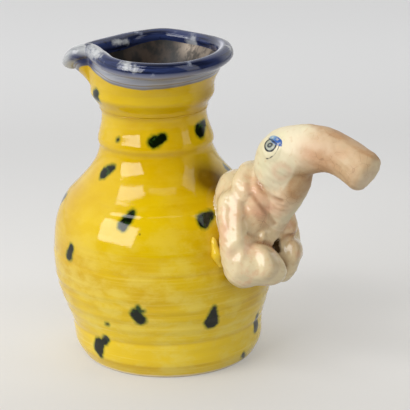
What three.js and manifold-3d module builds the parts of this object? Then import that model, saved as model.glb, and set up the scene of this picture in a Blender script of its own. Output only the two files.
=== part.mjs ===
// A hand-thrown ceramic jug whose handle is a hand-built, long-nosed animal.
// Millimetres, +Z up. The origin is the middle of the standing face, on the pot's axis.
// The pouring lip points along -X. The animal sits on the belly and faces away from the pot.
// Every piece is one lump of clay, thrown, coiled or rolled by itself and then luted in place.
import * as THREE from 'three';
import { mergeVertices } from 'three/addons/utils/BufferGeometryUtils.js';
import loadManifold from 'manifold-3d';

const wasm = await loadManifold();
wasm.setup();

// Joints between pieces: the thin line that the luting slip fills
const JOINT_GAP = 0.3;

// Thrown pot: outside radius of each turn of its outline, and its height above the one below
const FOOT_RADIUS = 41;
const HEEL_RADIUS = 45;
const HEEL_RISE = 8;
const BELLY_RADIUS = 52.2;
const BELLY_RISE = 38;
const CROWN_RADIUS = 49;
const CROWN_RISE = 23.5;
const SHOULDER_RADIUS = 39;
const SHOULDER_RISE = 14.5;
const THROAT_RADIUS = 29;
const THROAT_RISE = 11;
const NECK_RADIUS = 26.3;
const NECK_RISE = 6.5;
const RIDGE_RADIUS = 27.1;
const RIDGE_RISE = 7;
const GROOVE_RADIUS = 25.4;
const GROOVE_RISE = 8.5;
const SEAM_RADIUS = 25.9;
const SEAM_RISE = 3.5;
const WALL = 4.6;
const FLOOR_THICKNESS = 6.5;
const FLOOR_FILLET = 9;
// Sideways drift of the pot's middle for each millimetre of height: it was thrown off true
const DRIFT = -0.042;

// Collar between the seam and the rim
const COLLAR_RADIUS = 28.9;
const COLLAR_RISE = 7.5;
const COLLAR_WALL = 4.4;
const FLARE_RISE = 3.5;

// Rolled rim: its coil follows the mouth, above the seam
const RIM_RISE = 24;
const RIM_COIL_RADIUS = 3.8;

// Animal handle: where it sits on the pot, and the small parts laid on it
const HANDLE_BEARING = -36;
const SEAT_RISE = 14;
const EYE_RADIUS = 3.1;
const EYE_DEPTH = 2.2;
const BEAD_RADIUS = 2.8;

// Facets of the turned and rolled forms
const POT_FACETS = 48;
const OUTLINE_STEPS = 30;
const INSIDE_STEPS = 14;
const COLLAR_ROWS = 7;
const COIL_FACETS = 12;
const ROLL_FACETS = 18;
const ROLL_STEPS = 16;
const CAP_STEPS = 4;

// The mouth seen from above, going round from the handle side: x, y and rise of the rim coil.
// It is round and flared, with the lip drawn out and its right wall folded up.
const MOUTH = [
  [34.6, 1, 0.6], [30, 17.5, 0], [18.5, 29.5, 0], [5, 35, 0.8], [-7, 31.5, 0.2], [-17, 23, -0.2],
  [-26, 14, -0.3], [-33.5, 7.5, -1.5], [-37.2, -0.5, -2.6], [-33.8, -6.5, 2.2], [-27.5, -7.5, 3.6],
  [-21, -12.5, 2.8], [-14, -22.5, 1.3], [-5, -31.2, 0.3], [6, -34.8, 0], [19, -29.3, 0], [29.5, -17.5, 0.3],
];

// Clay rolls of the animal. Each row is one station along the roll: how far it stands out from
// the pot's seat, to its left side, and above the seat, then its half-width and half-depth.
const TORSO = [
  [2.8, 0, -18, 12, 8], [5.8, 0, -6, 17, 12.5], [4.3, 0, 5, 18, 14],
  [-0.2, 0, 16, 17, 14], [-5.2, 0, 26, 14, 11.5], [-9.7, 0, 37, 9, 8],
];
const HEAD = [
  [7.7, 0, 15.8, 11.8, 11.8], [14, 0, 28, 12.4, 12.8], [20.3, 0, 43.5, 13.4, 14],
  [28.7, 0, 51.3, 11.4, 11.6], [40.2, 0, 53.4, 10, 9.9], [50.8, 0, 51.2, 8.8, 8.9],
  [64.2, 0, 44.2, 9.2, 9.7],
];
const RIGHT_ARM = {
  upper: [[-1.5, -13, 32, 6, 6], [2.6, -17.5, 13, 8.3, 8.3], [7, -17, -15, 9.5, 9.5]],
  fore: [[3.5, -20.5, -6.5, 9, 9], [11.5, -13.5, -4.5, 9.4, 9.4], [19.5, -2, -1, 8.2, 8.2]],
};
const LEFT_ARM = {
  upper: [[-1.5, 13, 32, 6, 6], [2.6, 16, 13, 7.8, 7.8], [6.3, 14.5, -15, 8.8, 8.8]],
  fore: [[3.5, 18, -7, 9, 8.8], [11.5, 11.5, -6, 9.4, 8.8], [18.5, 2, -4.5, 8.6, 8]],
};
const NAPE = [
  [14, -12, 22.5, 4, 4], [7.5, -13, 30, 4.5, 4.5], [1.5, -8.5, 34.5, 4.6, 4.6], [-2.5, 0, 35.5, 4.6, 4.6],
  [1.5, 8.5, 34.5, 4.6, 4.6], [7.5, 13, 30, 4.5, 4.5], [14, 12, 22.5, 4, 4],
];
// Middle of the left eye and the way it looks; the right eye is its mirror
const EYE_PLACE = [19.8, 11, 55.5];
const EYE_LOOKS = [-0.46, 0.77, 0.43];
// Bead of slip clay in the corner between the animal's right side and the pot: side and rise
const BEAD = [[-21.5, 9], [-22.3, 3], [-21.8, -3.5], [-19.5, -10]];

// Heights that follow from the rises
const BELLY_HEIGHT = HEEL_RISE + BELLY_RISE;
const CROWN_HEIGHT = BELLY_HEIGHT + CROWN_RISE;
const SHOULDER_HEIGHT = CROWN_HEIGHT + SHOULDER_RISE;
const THROAT_HEIGHT = SHOULDER_HEIGHT + THROAT_RISE;
const NECK_HEIGHT = THROAT_HEIGHT + NECK_RISE;
const RIDGE_HEIGHT = NECK_HEIGHT + RIDGE_RISE;
const GROOVE_HEIGHT = RIDGE_HEIGHT + GROOVE_RISE;
const SEAM_HEIGHT = GROOVE_HEIGHT + SEAM_RISE;
const COLLAR_HEIGHT = SEAM_HEIGHT + COLLAR_RISE;
const FLARE_HEIGHT = COLLAR_HEIGHT + FLARE_RISE;
const RIM_HEIGHT = SEAM_HEIGHT + RIM_RISE;
const SEAT_HEIGHT = BELLY_HEIGHT + SEAT_RISE;

const UP = new THREE.Vector3(0, 0, 1);
const LEFT = new THREE.Vector3(0, 1, 0);

// Outline of the pot from foot to seam, as radius and height
const potOutline = new THREE.SplineCurve([
  new THREE.Vector2(FOOT_RADIUS, 0),
  new THREE.Vector2(HEEL_RADIUS, HEEL_RISE),
  new THREE.Vector2(BELLY_RADIUS, BELLY_HEIGHT),
  new THREE.Vector2(CROWN_RADIUS, CROWN_HEIGHT),
  new THREE.Vector2(SHOULDER_RADIUS, SHOULDER_HEIGHT),
  new THREE.Vector2(THROAT_RADIUS, THROAT_HEIGHT),
  new THREE.Vector2(NECK_RADIUS, NECK_HEIGHT),
  new THREE.Vector2(RIDGE_RADIUS, RIDGE_HEIGHT),
  new THREE.Vector2(GROOVE_RADIUS, GROOVE_HEIGHT),
  new THREE.Vector2(SEAM_RADIUS, SEAM_HEIGHT - JOINT_GAP),
]).getPoints(OUTLINE_STEPS);

// Outside radius of the pot at a height, read off its outline
function potRadius(height) {
  const above = Math.max(1, potOutline.findIndex((point) => point.y >= height));
  const low = potOutline[above - 1];
  const high = potOutline[above];
  return THREE.MathUtils.mapLinear(height, low.y, high.y, low.x, high.x);
}

// A closed geometry as a solid that can be cut
function toSolid(geometry) {
  const bare = geometry.clone();
  bare.deleteAttribute('normal');
  bare.deleteAttribute('uv');
  const merged = mergeVertices(bare, 1e-4);
  const corners = merged.index.array;
  const faces = [];
  for (let i = 0; i < corners.length; i += 3) {
    const [a, b, c] = [corners[i], corners[i + 1], corners[i + 2]];
    if (a !== b && b !== c && c !== a) faces.push(a, b, c);
  }
  return new wasm.Manifold(new wasm.Mesh({
    numProp: 3,
    vertProperties: new Float32Array(merged.attributes.position.array),
    triVerts: new Uint32Array(faces),
  }));
}

// A cut solid as a geometry again
function toGeometry(solid) {
  const mesh = solid.getMesh();
  const geometry = new THREE.BufferGeometry();
  geometry.setAttribute('position', new THREE.BufferAttribute(new Float32Array(mesh.vertProperties), 3));
  geometry.setIndex(new THREE.BufferAttribute(new Uint32Array(mesh.triVerts), 1));
  geometry.computeVertexNormals();
  return geometry;
}

// One solid less each of the others
function cutBy(solid, ...tools) {
  return tools.reduce((rest, tool) => rest.subtract(tool), solid);
}

// A pot form moved sideways with its height, as the whole pot drifts
function drifted(geometry) {
  const position = geometry.attributes.position;
  for (let i = 0; i < position.count; i += 1) {
    position.setX(i, position.getX(i) + DRIFT * position.getZ(i));
  }
  return geometry;
}

// A drifted form turned about Z from a profile of radius and height points
function turned(profile) {
  return drifted(new THREE.LatheGeometry(profile, POT_FACETS).rotateX(Math.PI / 2));
}

// Pot inside its outline: floor, fillet and wall, from the seam down to the axis
function potInside() {
  const points = [];
  const lowest = FLOOR_THICKNESS + FLOOR_FILLET;
  const highest = SEAM_HEIGHT - JOINT_GAP;
  for (let i = 0; i <= INSIDE_STEPS; i += 1) {
    const height = THREE.MathUtils.lerp(highest, lowest, i / INSIDE_STEPS);
    points.push(new THREE.Vector2(potRadius(height) - WALL, height));
  }
  const corner = points[points.length - 1];
  const fillet = new THREE.QuadraticBezierCurve(
    corner,
    new THREE.Vector2(potRadius(FLOOR_THICKNESS) - WALL, FLOOR_THICKNESS),
    new THREE.Vector2(corner.x - FLOOR_FILLET, FLOOR_THICKNESS),
  );
  points.push(...fillet.getPoints(CAP_STEPS).slice(1));
  points.push(new THREE.Vector2(0, FLOOR_THICKNESS));
  return points;
}

// The thrown pot, open at the seam
function thrownPot() {
  const profile = [new THREE.Vector2(0, 0), ...potOutline, ...potInside()];
  return turned(profile);
}

// The pot's outside with no hollow, grown by a clearance, seen from the animal's own place
function potTool(clearance, animalPlace) {
  const foot = new THREE.Vector2(0, -clearance);
  const top = new THREE.Vector2(0, SEAM_HEIGHT);
  const skin = potOutline.map((point) => new THREE.Vector2(point.x + clearance, point.y));
  return toSolid(turned([foot, ...skin, top]).applyMatrix4(animalPlace.clone().invert()));
}

// The squeezed mouth as a closed curve through its points
const mouthCurve = new THREE.CatmullRomCurve3(
  MOUTH.map(([x, y, rise]) => new THREE.Vector3(x, y, RIM_HEIGHT + rise)),
  true,
  'centripetal',
);

// A point of the mouth and the level direction that points out of it there
function mouthAt(share) {
  const place = mouthCurve.getPointAt(share % 1);
  const along = mouthCurve.getTangentAt(share % 1);
  const out = new THREE.Vector3(along.y, -along.x, 0).normalize();
  return { place, out };
}

// A closed ring of columns and rows, each vertex set by its column's share and its row
function ringForm(columns, rows, placeOf) {
  const loop = [];
  for (let row = 0; row <= rows; row += 1) loop.push(new THREE.Vector2(1, row));
  const ring = new THREE.LatheGeometry(loop, columns);
  const position = ring.attributes.position;
  for (let column = 0; column <= columns; column += 1) {
    for (let row = 0; row <= rows; row += 1) {
      const place = placeOf((column % columns) / columns, row % rows);
      position.setXYZ(column * (rows + 1) + row, place.x, place.y, place.z);
    }
  }
  return ring;
}

// The collar's mid-wall: a circle at the seam that swells, then turns into the mouth's shape
function collarWall(share, climb) {
  const { place, out } = mouthAt(share);
  const bearing = Math.atan2(place.y, place.x);
  const radial = new THREE.Vector3(Math.cos(bearing), Math.sin(bearing), 0);
  const height = THREE.MathUtils.lerp(SEAM_HEIGHT, place.z, climb);
  const swell = THREE.MathUtils.smoothstep(height, SEAM_HEIGHT, COLLAR_HEIGHT);
  const radius = THREE.MathUtils.lerp(SEAM_RADIUS, COLLAR_RADIUS, swell) - COLLAR_WALL / 2;
  const turn = THREE.MathUtils.clamp((height - FLARE_HEIGHT) / (place.z - FLARE_HEIGHT), 0, 1);
  const middle = radial.clone().multiplyScalar(radius).setZ(height);
  middle.lerp(new THREE.Vector3(place.x, place.y, height), turn);
  const normal = radial.lerp(out, turn).normalize();
  return { middle, normal };
}

// The collar: outer rows upwards, then inner rows downwards
function neckCollar() {
  return drifted(ringForm(POT_FACETS, 2 * COLLAR_ROWS, (share, row) => {
    const outside = row < COLLAR_ROWS;
    const step = outside ? row : 2 * COLLAR_ROWS - 1 - row;
    const { middle, normal } = collarWall(share, step / (COLLAR_ROWS - 1));
    return middle.addScaledVector(normal, (outside ? 0.5 : -0.5) * COLLAR_WALL);
  }));
}

// The rim's coil round the mouth
function rimCoil(clearance) {
  const radius = RIM_COIL_RADIUS + clearance;
  return drifted(ringForm(POT_FACETS, COIL_FACETS, (share, row) => {
    const { place, out } = mouthAt(share);
    const angle = (row / COIL_FACETS) * 2 * Math.PI;
    return place.clone()
      .addScaledVector(out, radius * Math.cos(angle))
      .addScaledVector(UP, radius * Math.sin(angle));
  }));
}

// A point of the animal, given from its seat on the pot
function fromSeat(out, side, rise) {
  return new THREE.Vector3(potRadius(SEAT_HEIGHT) + out, side, SEAT_HEIGHT + rise);
}

// Values of a row of numbers at a share of its length, smooth through each of them
function smoothValue(values, share) {
  const line = new THREE.SplineCurve(values.map((value, i) => new THREE.Vector2(i, value)));
  return line.getPoint(share).y;
}

// A roll of clay with round ends, turned straight and then bent along its stations.
// The ends' roundness is the share of its length that each end takes to close.
function clayRoll(stations, { across = LEFT, endRound = [0.12, 0.12], clearance = 0 } = {}) {
  const points = stations.map(([out, side, rise]) => fromSeat(out, side, rise));
  const spine = new THREE.CatmullRomCurve3(points, false, 'centripetal');
  const widths = stations.map((station) => station[3] + clearance);
  const depths = stations.map((station) => station[4] + clearance);
  const blank = [];
  for (let i = 0; i <= CAP_STEPS; i += 1) {
    const angle = (i / CAP_STEPS) * Math.PI / 2;
    blank.push(new THREE.Vector2(Math.sin(angle), endRound[0] * (1 - Math.cos(angle))));
  }
  for (let i = 1; i < ROLL_STEPS; i += 1) {
    blank.push(new THREE.Vector2(1, THREE.MathUtils.lerp(endRound[0], 1 - endRound[1], i / ROLL_STEPS)));
  }
  for (let i = CAP_STEPS; i >= 0; i -= 1) {
    const angle = (i / CAP_STEPS) * Math.PI / 2;
    blank.push(new THREE.Vector2(Math.sin(angle), 1 - endRound[1] * (1 - Math.cos(angle))));
  }
  const roll = new THREE.LatheGeometry(blank, ROLL_FACETS);
  const position = roll.attributes.position;
  for (let i = 0; i < position.count; i += 1) {
    const share = position.getY(i);
    const along = spine.getTangent(share);
    const side = across.clone().addScaledVector(along, -across.dot(along)).normalize();
    const front = new THREE.Vector3().crossVectors(side, along);
    const stretch = (share - 0.5) * 2 * clearance;
    const place = spine.getPoint(share)
      .addScaledVector(side, smoothValue(widths, share) * position.getX(i))
      .addScaledVector(front, smoothValue(depths, share) * position.getZ(i))
      .addScaledVector(along, stretch);
    position.setXYZ(i, place.x, place.y, place.z);
  }
  return toSolid(roll);
}

// An arm: its roll bent at the elbow, as two straight lengths that run into each other
function bentArm({ upper, fore }, clearance) {
  const upperRoll = clayRoll(upper, { endRound: [0.12, 0.2], clearance });
  return upperRoll.add(clayRoll(fore, { across: UP, endRound: [0.3, 0.3], clearance }));
}

// A flat-backed pellet for an eye, looking along its own direction
function eyePellet(side, clearance) {
  const pellet = new THREE.SphereGeometry(1, ROLL_FACETS, 2 * CAP_STEPS);
  pellet.scale(EYE_RADIUS + clearance, EYE_DEPTH + clearance, EYE_RADIUS + clearance);
  const looks = new THREE.Vector3(EYE_LOOKS[0], side * EYE_LOOKS[1], EYE_LOOKS[2]).normalize();
  const turn = new THREE.Quaternion().setFromUnitVectors(LEFT, looks);
  const place = fromSeat(EYE_PLACE[0], side * EYE_PLACE[1], EYE_PLACE[2]);
  pellet.applyQuaternion(turn);
  pellet.translate(place.x, place.y, place.z);
  return toSolid(pellet);
}

// The bead of slip clay, laid on the pot's skin beside the animal
function slipBead() {
  const stations = BEAD.map(([side, rise]) => {
    const radius = potRadius(SEAT_HEIGHT + rise) + BEAD_RADIUS / 2;
    const out = Math.sqrt(radius * radius - side * side) - potRadius(SEAT_HEIGHT);
    return [out, side, rise, BEAD_RADIUS, BEAD_RADIUS];
  });
  return clayRoll(stations, { across: LEFT, endRound: [0.2, 0.2] });
}

// Pieces of the animal, each cut by the ones that it is pressed onto
function animalPieces(animalPlace) {
  const pot = potTool(JOINT_GAP, animalPlace);
  const torso = clayRoll(TORSO);
  const torsoTool = clayRoll(TORSO, { clearance: JOINT_GAP });
  const headRound = [0.1, 0.05];
  const headTool = clayRoll(HEAD, { endRound: headRound, clearance: JOINT_GAP });
  const rightArmTool = bentArm(RIGHT_ARM, JOINT_GAP);
  const leftArmTool = bentArm(LEFT_ARM, JOINT_GAP);
  const sockets = [eyePellet(-1, JOINT_GAP), eyePellet(1, JOINT_GAP)];
  return {
    figure_torso: cutBy(torso, pot),
    figure_head: cutBy(clayRoll(HEAD, { endRound: headRound }), torsoTool, pot, ...sockets),
    right_arm: cutBy(bentArm(RIGHT_ARM, 0), torsoTool, headTool, pot),
    left_arm: cutBy(bentArm(LEFT_ARM, 0), torsoTool, headTool, rightArmTool, pot),
    nape_fold: cutBy(clayRoll(NAPE, { across: UP }), torsoTool, headTool, rightArmTool, leftArmTool, pot),
    right_eye: eyePellet(-1, 0),
    left_eye: eyePellet(1, 0),
    slip_bead: cutBy(slipBead(), torsoTool, rightArmTool, pot),
  };
}

// Glazes
function glaze(color, roughness) {
  return new THREE.MeshStandardMaterial({ color, roughness, metalness: 0 });
}
const YELLOW_GLAZE = [0xe0bc22, 0.16];
const BLUE_GLAZE = [0x2d3468, 0.18];
const CREAM_GLAZE = [0xead9b8, 0.2];
const EYE_GLAZE = [0xa9b2a4, 0.12];

function piece(name, geometry, [color, roughness]) {
  const mesh = new THREE.Mesh(geometry, glaze(color, roughness));
  mesh.name = name;
  return mesh;
}

const jug = new THREE.Group();
jug.add(piece('pot_body', thrownPot(), YELLOW_GLAZE));
const collar = cutBy(toSolid(neckCollar()), toSolid(rimCoil(JOINT_GAP)));
jug.add(piece('neck_collar', toGeometry(collar), YELLOW_GLAZE));
jug.add(piece('rim_roll', rimCoil(0), BLUE_GLAZE));

const animal = new THREE.Group();
animal.position.x = DRIFT * SEAT_HEIGHT;
animal.rotation.z = THREE.MathUtils.degToRad(HANDLE_BEARING);
animal.updateMatrix();
const finishes = { right_eye: EYE_GLAZE, left_eye: EYE_GLAZE, slip_bead: YELLOW_GLAZE };
for (const [name, solid] of Object.entries(animalPieces(animal.matrix))) {
  animal.add(piece(name, toGeometry(solid), finishes[name] ?? CREAM_GLAZE));
}
jug.add(animal);

export default jug;
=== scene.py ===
"""A hand-thrown ceramic jug whose handle is a hand-built, long-nosed animal.

Every surface is worked out with numpy in millimetres in the part's frame (+Z up, lip along -X),
and put into a mesh in metres. Glazes are procedural.
"""
import math

import bpy
import numpy as np
from mathutils import Matrix


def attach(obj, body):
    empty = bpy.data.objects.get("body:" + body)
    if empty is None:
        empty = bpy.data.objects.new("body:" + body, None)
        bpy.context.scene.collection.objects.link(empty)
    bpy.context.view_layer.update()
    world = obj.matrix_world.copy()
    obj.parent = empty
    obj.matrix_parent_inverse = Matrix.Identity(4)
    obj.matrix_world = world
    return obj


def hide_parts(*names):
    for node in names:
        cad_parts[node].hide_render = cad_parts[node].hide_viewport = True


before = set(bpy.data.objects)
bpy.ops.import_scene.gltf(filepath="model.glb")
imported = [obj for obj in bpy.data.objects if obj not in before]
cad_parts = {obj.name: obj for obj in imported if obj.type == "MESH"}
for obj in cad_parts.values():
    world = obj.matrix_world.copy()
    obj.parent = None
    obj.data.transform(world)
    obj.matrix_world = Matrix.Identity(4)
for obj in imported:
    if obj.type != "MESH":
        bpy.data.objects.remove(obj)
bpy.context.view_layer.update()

MM = 0.001

# Thrown pot: height and outside radius of its turns
POT_TURNS = [
    (0, 41), (3, 42.8), (7, 44.7), (12, 45.3), (18, 45.8), (25, 48), (34, 50.7), (46, 52.2), (58, 51.4),
    (69, 49), (79, 43.5), (83, 39.5), (87, 35.6), (90, 32.95), (92, 31.4), (95, 29.4), (97, 28.35),
    (99, 27.5), (101, 26.9), (103, 26.65), (105, 27.2), (107, 27), (109, 26.4), (111, 25.8), (113, 25.2),
    (115, 24.8), (117, 24.6), (119, 24.7), (121, 25.4),
]
SEAM_HEIGHT = 121
SEAM_GAP = 0.02
WALL = 4.6
FLOOR_HEIGHT = 6.5
FLOOR_FILLET = 9
FOOT_BEVEL = 0.6
FOOT_BEVEL_HEIGHT = 0.9
# Throwing rings: rise of a turn, and depth, of the fine ones low down and the broad ones over them
FINE_RISE = 5.4
FINE_DEPTH = 0.11
BROAD_RISE = 9.5
BROAD_DEPTH = 0.06
# Grooves: height, sway up and down, bearing at which it starts, depth and width
GROOVES = [(54.5, 1.2, 0, 0.16, 1.1), (18, 0.8, 2, 0.2, 0.9), (95.5, 0, 0, 0.05, 1.8)]
# Share of the radius by which the pot is out of round
OUT_OF_ROUND = 0.0035
# Sideways drift of the pot's middle for each millimetre of height
DRIFT = -0.042

# Collar and rolled rim
COLLAR_RADIUS = 28.9
COLLAR_HEIGHT = 128.5
COLLAR_WALL = 4.4
FLARE_HEIGHT = 131.5
COLLAR_STEP = 0.03
COLLAR_RIPPLE = 0.05
COLLAR_LEAN = 1.25
RIM_HEIGHT = 145
RIM_COIL = 3.8
# Middle of the lip's tip from above, and how far its forms reach
LIP_TIP = (-34, -1)
LIP_REACH = 13
# Depth of the brushed ledge under the rim: plain, lost at the lip, and gained round the front's bearing
LEDGE = 4.4
LEDGE_LOST_AT_LIP = 2.2
LEDGE_GAINED_IN_FRONT = 1.7
FRONT_BEARING = -1.75
# The mouth going round from the handle side: x, y and rise of the middle of the rim's coil
MOUTH = [
    [34.6, 1, 0.6], [30, 17.5, 0], [18.5, 29.5, 0], [5, 35, 0.8], [-7, 31.5, 0.2], [-17, 23, -0.2],
    [-26, 14, -0.3], [-33.5, 7.5, -1.5], [-37.2, -0.5, -2.6], [-33.8, -6.5, 2.2], [-27.5, -7.5, 3.6],
    [-22.3, -15.5, 2.4], [-16.8, -25.2, 1], [-7, -32.4, 0.2], [6, -34.8, 0], [19, -29.3, 0],
    [29.5, -17.5, 0.3],
]

# Marks on the rim and just inside it: place, size and strength
# Pale spots: wear on the lip and the right end, a painted highlight on the coil's front, and painted
# reflections on the back and inside
RIM_PALE = [
    (-37, -3, 149, 6, 0.9), (-29, -11, 149, 6, 1), (-42, -7, 146, 5, 0.9), (-25, -17, 148, 6, 0.8),
    (31, -3, 148, 7, 0.45), (-21, 18.5, 147.5, 3.2, 1), (-16, 22, 147.5, 3, 1),
    (-15.5, -33, 147, 3.6, 0.8), (-11, -35, 146.5, 3, 0.6), (13, 25, 143, 4.5, 0.9),
]
RIM_DARK = [
    (-40.5, -9.5, 145.5, 3, 1), (-37, -10, 144, 3.5, 1), (-33, -12, 143.5, 3.5, 0.8),
    (22, -22, 147, 5, 0.6), (10, 30, 148, 10, 0.6),
]
# Pale spots inside the collar's back, as painted reflections: place, size and strength
SHEEN_INSIDE = [(13, 27, 141, 5, 1), (22, 20, 141, 9, 0.45), (26, 8, 141, 8, 0.35)]

# Painted shadow that the animal casts on the yellow glaze beside it, in amber: place, size and strength
PAINTED_SHADOW_SPOTS = [
    (18, -22.5, 92, 8, 1), (27, -19, 87, 9, 1), (34, -20, 80, 8, 0.6),
    (21, -15, 127, 8, 0.5), (41, -27, 62, 6, 0.5),
]

# Where the animal sits on the pot
HANDLE_BEARING = math.radians(-36)
SEAT_HEIGHT = 60

# Clay rolls of the animal: out from the seat, to its left, above the seat, and radius
ANIMAL = {
    "torso": [
        [4, 0, -6, 9.5], [5, 0, 0, 12.3], [3, 0, 9, 14], [-1, 0, 17, 13.2], [-5.5, 0, 25, 10.5],
        [-8.5, 0, 29, 7.5],
    ],
    "chest": [[8.5, -5, 9, 7], [8.5, 5, 9, 7]],
    "neck": [[11, 0, 14, 6.8], [14.5, 0, 20.9, 7.4], [20, 0, 32, 9.4], [24, 0, 39.5, 8.6]],
    "scruff": [
        [6, -7.5, 15, 7.5], [8, -7, 23, 7.5], [9.5, -4.5, 30, 8], [9.5, 4.5, 30, 8], [8, 7, 23, 7.5],
        [6, 7.5, 15, 7.5],
    ],
    "head": [
        [16, 0, 39, 11.5], [18.5, 0, 46, 12.8], [28.7, 0, 51.3, 11.5], [40.2, 0, 53.4, 9.9],
        [50.8, 0, 51.2, 8.9], [64.2, 0, 44.2, 9.6], [68, 0, 42, 9.6],
    ],
    "nape": [
        [5, -13, 30, 3.4], [2.5, -10.5, 33.5, 4.4], [1, -5, 36, 4.8], [0, 0, 37, 4.8], [1, 5, 36, 4.8],
        [2.5, 10.5, 33.5, 4.4], [5, 13, 30, 3.4],
    ],
    "right_upper": [[-1, -13, 24, 6.8], [3, -17, 13, 7], [5.5, -17.5, 2, 8], [7, -16, -4.5, 8.8]],
    "right_fore": [[7, -16, -4.5, 8.8], [11, -13.6, -1.2, 10.2], [17.7, -8.5, -4.8, 7.4]],
    "left_chest": [[2, 9.5, 22, 6.8], [8.5, 9.5, 18, 6.6], [14.5, 6.5, 10.5, 6.6]],
    "left_upper": [[-1, 13, 24, 6.8], [4, 16.5, 13, 7], [7.5, 16.3, 2.5, 7.8], [8.5, 15, -4, 8]],
    "left_fore": [[8.5, 15, -4, 8], [12, 10.8, -2.4, 8.1], [16.3, 6.6, -0.2, 7.2]],
    "left_fist": [[16.2, 6.2, -1, 7], [14.8, 3, -8, 7]],
}
# How far the joint of each roll with the torso and the rolls named before it is smoothed over
JOINTS = {
    "chest": 2, "neck": 2.5, "scruff": 2.5, "head": 1.6, "nape": 2.6, "right_upper": 3.5, "right_fore": 1,
    "left_chest": 1.6, "left_upper": 2.5, "left_fore": 0.8, "left_fist": 1.2,
}
BROW_JOINT = 3.5
GAP_JOINT = 1.0
POT_JOINT = 1.2
# Rolls that are wider than they are deep: scale of their sideways distances
SQUEEZE = {"torso": 0.78}
BALL_STEP = 1.5
BALL_SOFTNESS = 0.5
SNOUT_TIP = np.array([63.6, 0, 44.4])
SNOUT_WAY = np.array([0.887, 0, -0.463])
SNOUT_ROUND = 6
BROW = np.array([18, 6.5, 51])
BROW_RADIUS = 6.3
EYE = np.array([19.2, 11.8, 55.1])
EYE_LOOKS = np.array([0.07, 0.79, 0.587])
EYE_HALF_WIDTH = 6.2
EYE_HALF_HEIGHT = 7.6
EYE_DOME = 0.25
# How an eye is moved onto the brow: start above it, rounds, and share of the distance in each
EYE_START = 4
EYE_ROUNDS = 14
EYE_SHARE = 0.8
# Hole left between the two fists
FIST_GAP = [[11, -3.8, 8], [15.8, -3, 5.6], [17.6, -2.6, 3.2]]
FIST_GAP_RADIUS = 2.7
# Creases pressed in with a tool: line, depth and width
CREASES = [
    (
        [[7.6, -7.8, 39.2], [10.4, -9.6, 36.3], [14.2, -10.5, 32.6], [18.2, -9.6, 30], [22.5, -8.4, 28.7]],
        0.9, 1,
    ),
    ([[10, -13, 30.7], [13, -12.6, 27.4], [15, -10, 23.2], [16.9, -5.7, 16.2]], 0.8, 0.9),
    ([[20.5, -8.5, 26.8], [24, -6, 25.6]], 0.18, 0.9),
    ([[18.5, -8.5, 24.4], [24, -4.2, 23.3]], 0.14, 0.9),
    ([[17, -0.9, 5.8], [19.1, 3.4, 8.3], [20.2, 8.4, 8.5]], 0.9, 0.9),
    ([[10.1, -16.5, 13.3], [12.2, -12.4, 10.9], [16.9, -6.5, 5.5]], 0.6, 1),
    ([[18, -2.2, 3], [19, -1.8, -1], [19.2, -1.7, -4.5], [18.2, -2, -8.5]], 1, 0.9),
]
# Flats that a paddle left on the clay: line, width and radius of the low dome; all face one way
FLATS_FACE = np.array([0.18, -0.895, 0.41])
FLAT_EDGE = 2.6
FLAT_ROUNDS = 8
DENTS_LOST_ON_FLATS = 0.6
FLATS = [
    ([[2.8, -16.4, 29.4], [4.6, -19, 23.3]], 3.4, 9),
    ([[5.2, -19.8, 20.8], [6.3, -21.6, 17.6], [7.4, -23.1, 12.4]], 3.2, 9),
    ([[9.8, -23.1, 3.8], [11, -24.5, -0.6]], 3.6, 15),
    ([[17.8, -17, 3.8], [20.6, -18.2, -0.6]], 4.6, 24),
    ([[20.2, 1.4, 3.2], [20.8, 1.8, 0]], 4.4, 22),
    ([[5.8, -14.7, 34.2], [5.8, -14.7, 33.2]], 3, 9),
    ([[13.6, -11.3, 12], [13.6, -11.3, 11]], 2, 8),
]
# Washes over the cream glaze on one side of the animal: place, size and strength
TAN_SPOTS = [
    (27.5, -7, 31, 5, 0.4), (-5.5, -10, 31.5, 6, 0.15),
    (8, -16.7, 20, 5, 0.3), (13.4, -11, 16.6, 6, 0.5), (41, -3, 44, 7, 0.3), (17, -6, 6, 5, 0.5),
    (20, 4, 8, 6, 0.5), (17, 6, -6, 7, 0.35), (14, -14, 6, 4, 0.3),
]
PINK_SPOTS = [
    (38, -10, 53, 7, 0.5), (46, -9, 48, 8, 0.35), (20, -8, 26.5, 6, 0.8), (13.2, -12.2, 22.5, 5, 0.7),
    (2.7, -23, 17, 5, 0.4), (11, -12, 33, 4, 0.6), (6, -14, 32, 4, 0.3), (19, 2, 12, 5, 0.5),
    (12, -18, 8, 4, 0.4), (5, -10, 38, 4, 0.4), (6, -26, 6, 4, 0.4), (5, -18.5, 24, 5, 0.45),
]
JAW = np.array([31, -4, 37.5])
SNOUT_TOP = np.array([0.31, 0.54, 0.78])
BLUSH = np.array([24.9, -11.3, 43.5])

# Ways in the animal's frame
OUTWARD = [1.0, 0, 0]
LEFTWARD = [0.0, 1, 0]
UPWARD = [0.0, 0, 1]
FOREARM_SIDE = [0.0, 1, 0.4]
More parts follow.
